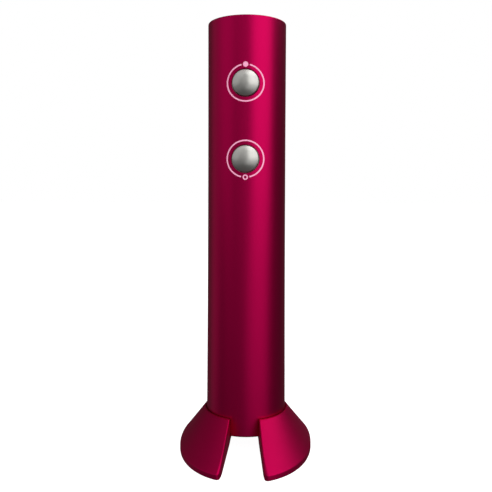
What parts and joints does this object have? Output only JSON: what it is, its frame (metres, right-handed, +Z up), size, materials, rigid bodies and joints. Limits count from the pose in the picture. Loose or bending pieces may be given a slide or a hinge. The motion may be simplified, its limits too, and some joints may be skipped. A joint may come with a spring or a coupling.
{
  "type": "electric wine opener",
  "caption": "Battery wine opener: slim lacquered tube with a powered worm, two round push buttons and a free-standing flared foil-cutter stand.",
  "frame": {"origin": "on the table, on the axis of the tube", "axes": "+Z up along the tube, -Y towards the push buttons and the front gap of the stand"},
  "size_m": [0.0826, 0.1106, 0.267],
  "materials": {
    "lacquer": "cherry red metallic lacquer over aluminium, satin gloss",
    "satin_metal": "satin nickel plate",
    "steel": "bright steel",
    "brass": "machined brass",
    "black_plastic": "black moulded plastic",
    "grey_plastic": "grey moulded plastic",
    "gear_plastic": "natural acetal",
    "board": "green solder mask",
    "cell_wrap": "printed film over a cell can",
    "rubber": "black rubber",
    "red_wire": "red wire insulation"
  },
  "bodies": {
    "stand_left": {"left_wing": "lacquer", "wing_hinge_pin": "steel", "wing_spring": "steel", "cutter_pin_left_front": "steel", "cutter_pin_left_rear": "steel"},
    "stand_right": {"right_wing": "lacquer", "cutter_pin_right_front": "steel", "cutter_pin_right_rear": "steel"},
    "cutter_left_front": {"cutter_wheel_left_front": "steel"},
    "cutter_left_rear": {"cutter_wheel_left_rear": "steel"},
    "cutter_right_front": {"cutter_wheel_right_front": "steel"},
    "cutter_right_rear": {"cutter_wheel_right_rear": "steel"},
    "opener": {"body_tube": "lacquer", "upper_switch": "black_plastic", "lower_switch": "black_plastic", "neck_guide": "black_plastic", "cork_sleeve": "grey_plastic", "gearbox_base": "grey_plastic", "output_bearing": "steel", "ring_gear": "grey_plastic", "motor_plate": "grey_plastic", "motor": "satin_metal", "motor_screw_1": "steel", "motor_screw_2": "steel", "chassis_front": "black_plastic", "chassis_rear": "black_plastic", "chassis_screw_1": "steel", "chassis_screw_2": "steel", "chassis_screw_3": "steel", "chassis_screw_4": "steel", "circuit_board": "board", "battery_holder": "black_plastic", "battery_cell_1": "cell_wrap", "battery_cell_2": "cell_wrap", "battery_cell_3": "cell_wrap", "battery_cell_4": "cell_wrap", "contact_spring_1": "steel", "contact_spring_3": "steel", "cap_collar": "black_plastic", "motor_lead_red": "red_wire", "motor_lead_black": "black_plastic"},
    "upper_push": {"upper_button": "satin_metal", "upper_switch_plunger": "black_plastic"},
    "lower_push": {"lower_button": "satin_metal", "lower_switch_plunger": "black_plastic"},
    "worm_drive": {"worm": "steel", "worm_chuck": "satin_metal", "chuck_grub_screw": "steel", "output_carrier": "steel"},
    "output_planet_1": {"output_planet_1": "gear_plastic"},
    "output_planet_2": {"output_planet_2": "gear_plastic"},
    "output_planet_3": {"output_planet_3": "gear_plastic"},
    "input_drive": {"input_carrier": "gear_plastic"},
    "input_planet_1": {"input_planet_1": "gear_plastic"},
    "input_planet_2": {"input_planet_2": "gear_plastic"},
    "input_planet_3": {"input_planet_3": "gear_plastic"},
    "rotor": {"motor_pinion": "brass"},
    "cap_riser": {"cap_contact_plate": "grey_plastic"},
    "cap": {"battery_cap": "black_plastic", "cap_seal": "rubber"}
  },
  "joints": [
    {"name": "wing_squeeze", "type": "hinge", "parent": "stand_left", "child": "stand_right", "pos_m": [0, 0.034, 0.008], "axis": [0, 0, -1], "range_deg": [0, 0.65], "stiffness_Nm_per_rad": 3},
    {"name": "cutter_left_front_spin", "type": "hinge", "parent": "stand_left", "child": "cutter_left_front", "pos_m": [-0.01448, -0.01215, 0.0045], "axis": [0, 0, 1], "continuous": true},
    {"name": "cutter_left_rear_spin", "type": "hinge", "parent": "stand_left", "child": "cutter_left_rear", "pos_m": [-0.01448, 0.01215, 0.0045], "axis": [0, 0, 1], "continuous": true},
    {"name": "cutter_right_front_spin", "type": "hinge", "parent": "stand_right", "child": "cutter_right_front", "pos_m": [0.01448, -0.01215, 0.0045], "axis": [0, 0, 1], "continuous": true},
    {"name": "cutter_right_rear_spin", "type": "hinge", "parent": "stand_right", "child": "cutter_right_rear", "pos_m": [0.01448, 0.01215, 0.0045], "axis": [0, 0, 1], "continuous": true},
    {"name": "opener_lift", "type": "slide", "parent": "stand_left", "child": "opener", "axis": [0, 0, 1], "range_m": [0, 0.06]},
    {"name": "upper_button_press", "type": "slide", "parent": "opener", "child": "upper_push", "axis": [0, 1, 0], "range_m": [0, 0.0008], "stiffness_N_per_m": 1500},
    {"name": "lower_button_press", "type": "slide", "parent": "opener", "child": "lower_push", "axis": [0, 1, 0], "range_m": [0, 0.0008], "stiffness_N_per_m": 1500},
    {"name": "worm_spin", "type": "hinge", "parent": "opener", "child": "worm_drive", "pos_m": [0, 0, 0.12], "axis": [0, 0, 1], "continuous": true},
    {"name": "output_planet_1_spin", "type": "hinge", "parent": "worm_drive", "child": "output_planet_1", "pos_m": [0, 0.012, 0.13], "axis": [0, 0, 1], "continuous": true},
    {"name": "output_planet_2_spin", "type": "hinge", "parent": "worm_drive", "child": "output_planet_2", "pos_m": [-0.01039, -0.006, 0.13], "axis": [0, 0, 1], "continuous": true},
    {"name": "output_planet_3_spin", "type": "hinge", "parent": "worm_drive", "child": "output_planet_3", "pos_m": [0.01039, -0.006, 0.13], "axis": [0, 0, 1], "continuous": true},
    {"name": "input_carrier_spin", "type": "hinge", "parent": "opener", "child": "input_drive", "pos_m": [0, 0, 0.138], "axis": [0, 0, 1], "continuous": true},
    {"name": "input_planet_1_spin", "type": "hinge", "parent": "input_drive", "child": "input_planet_1", "pos_m": [0, 0.012, 0.144], "axis": [0, 0, 1], "continuous": true},
    {"name": "input_planet_2_spin", "type": "hinge", "parent": "input_drive", "child": "input_planet_2", "pos_m": [-0.01039, -0.006, 0.144], "axis": [0, 0, 1], "continuous": true},
    {"name": "input_planet_3_spin", "type": "hinge", "parent": "input_drive", "child": "input_planet_3", "pos_m": [0.01039, -0.006, 0.144], "axis": [0, 0, 1], "continuous": true},
    {"name": "motor_spin", "type": "hinge", "parent": "opener", "child": "rotor", "pos_m": [0, 0, 0.15], "axis": [0, 0, 1], "continuous": true},
    {"name": "cap_rise", "type": "slide", "parent": "opener", "child": "cap_riser", "axis": [0, 0, 1], "range_m": [0, 0.0061]},
    {"name": "cap_turn", "type": "hinge", "parent": "cap_riser", "child": "cap", "pos_m": [0, 0, 0.2622], "axis": [0, 0, 1], "range_deg": [0, 720]}
  ],
  "couplings": [
    {"joint": "output_planet_1_spin", "follows": "worm_spin", "ratio": -3},
    {"joint": "output_planet_2_spin", "follows": "worm_spin", "ratio": -3},
    {"joint": "output_planet_3_spin", "follows": "worm_spin", "ratio": -3},
    {"joint": "input_carrier_spin", "follows": "worm_spin", "ratio": 4},
    {"joint": "input_planet_1_spin", "follows": "worm_spin", "ratio": -12},
    {"joint": "input_planet_2_spin", "follows": "worm_spin", "ratio": -12},
    {"joint": "input_planet_3_spin", "follows": "worm_spin", "ratio": -12},
    {"joint": "motor_spin", "follows": "worm_spin", "ratio": 16},
    {"joint": "cap_rise", "follows": "cap_turn", "m_per_rad": 0.00047746}
  ]
}
